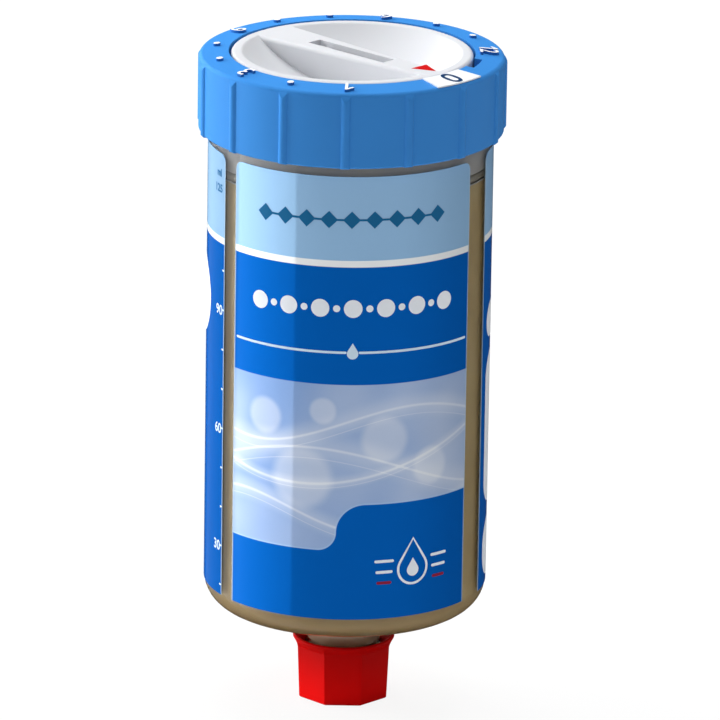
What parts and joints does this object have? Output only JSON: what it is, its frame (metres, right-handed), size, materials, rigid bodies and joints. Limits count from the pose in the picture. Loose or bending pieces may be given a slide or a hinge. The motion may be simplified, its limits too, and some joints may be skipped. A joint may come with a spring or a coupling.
{
  "type": "automatic lubricator",
  "caption": "Automatic lubricator: clear grease cartridge with a gas-driven piston, ribbed grip ring, setting dial and octagonal closure cap.",
  "frame": {"origin": "centre of the closure cap's flat base, on the lubricator's axis", "axes": "+Z along the axis, from the closure cap up to the dial; the front label faces -Y"},
  "size_m": [0.0518, 0.0517, 0.1135],
  "materials": {
    "clear_plastic": "clear glossy moulding",
    "grease": "soft amber-brown grease",
    "label_print": "printed gloss film, blue with pale fields",
    "grey_plastic": "satin moulding",
    "piston_plastic": "satin moulding",
    "seal_rubber": "matt black rubber",
    "seal_pad": "soft pale pad",
    "cell_steel": "nickel-plated can",
    "contact_brass": "rolled sheet",
    "board_laminate": "green laminate",
    "chip_resin": "moulded resin",
    "resistor_body": "lacquered",
    "blue_plastic": "satin moulding",
    "white_plastic": "satin moulding",
    "red_plastic": "semi-gloss moulding"
  },
  "bodies": {
    "housing": {"container": "clear_plastic", "grease_charge": "grease", "front_label": "label_print", "rear_label": "label_print", "drive_housing": "grey_plastic", "housing_seal": "seal_rubber", "gas_cell": "cell_steel", "gas_cell_seal": "seal_rubber", "battery_left": "cell_steel", "battery_right": "cell_steel", "battery_contact_left": "contact_brass", "battery_contact_right": "contact_brass", "circuit_board": "board_laminate", "control_chip": "chip_resin", "resistor_left": "resistor_body", "resistor_right": "resistor_body", "top_ring": "blue_plastic", "zero_flag": "white_plastic"},
    "dial": {"dial": "white_plastic", "pointer_mark": "red_plastic", "dial_seal": "seal_rubber", "contact_wiper": "contact_brass"},
    "piston": {"piston": "piston_plastic", "piston_seal": "seal_rubber"},
    "closure_cap": {"closure_cap": "red_plastic", "cap_seal": "seal_pad"}
  },
  "joints": [
    {"name": "dial_turn", "type": "hinge", "parent": "housing", "child": "dial", "pos_m": [0, 0, 0.1133], "axis": [0, 0, 1], "range_deg": [-312, 0]},
    {"name": "piston_slide", "type": "slide", "parent": "housing", "child": "piston", "axis": [0, 0, -1], "range_m": [0, 0.0715], "deforming": ["grease_charge"]},
    {"name": "cap_pull", "type": "slide", "parent": "housing", "child": "closure_cap", "axis": [0, 0, -1], "range_m": [0, 0.02]}
  ]
}
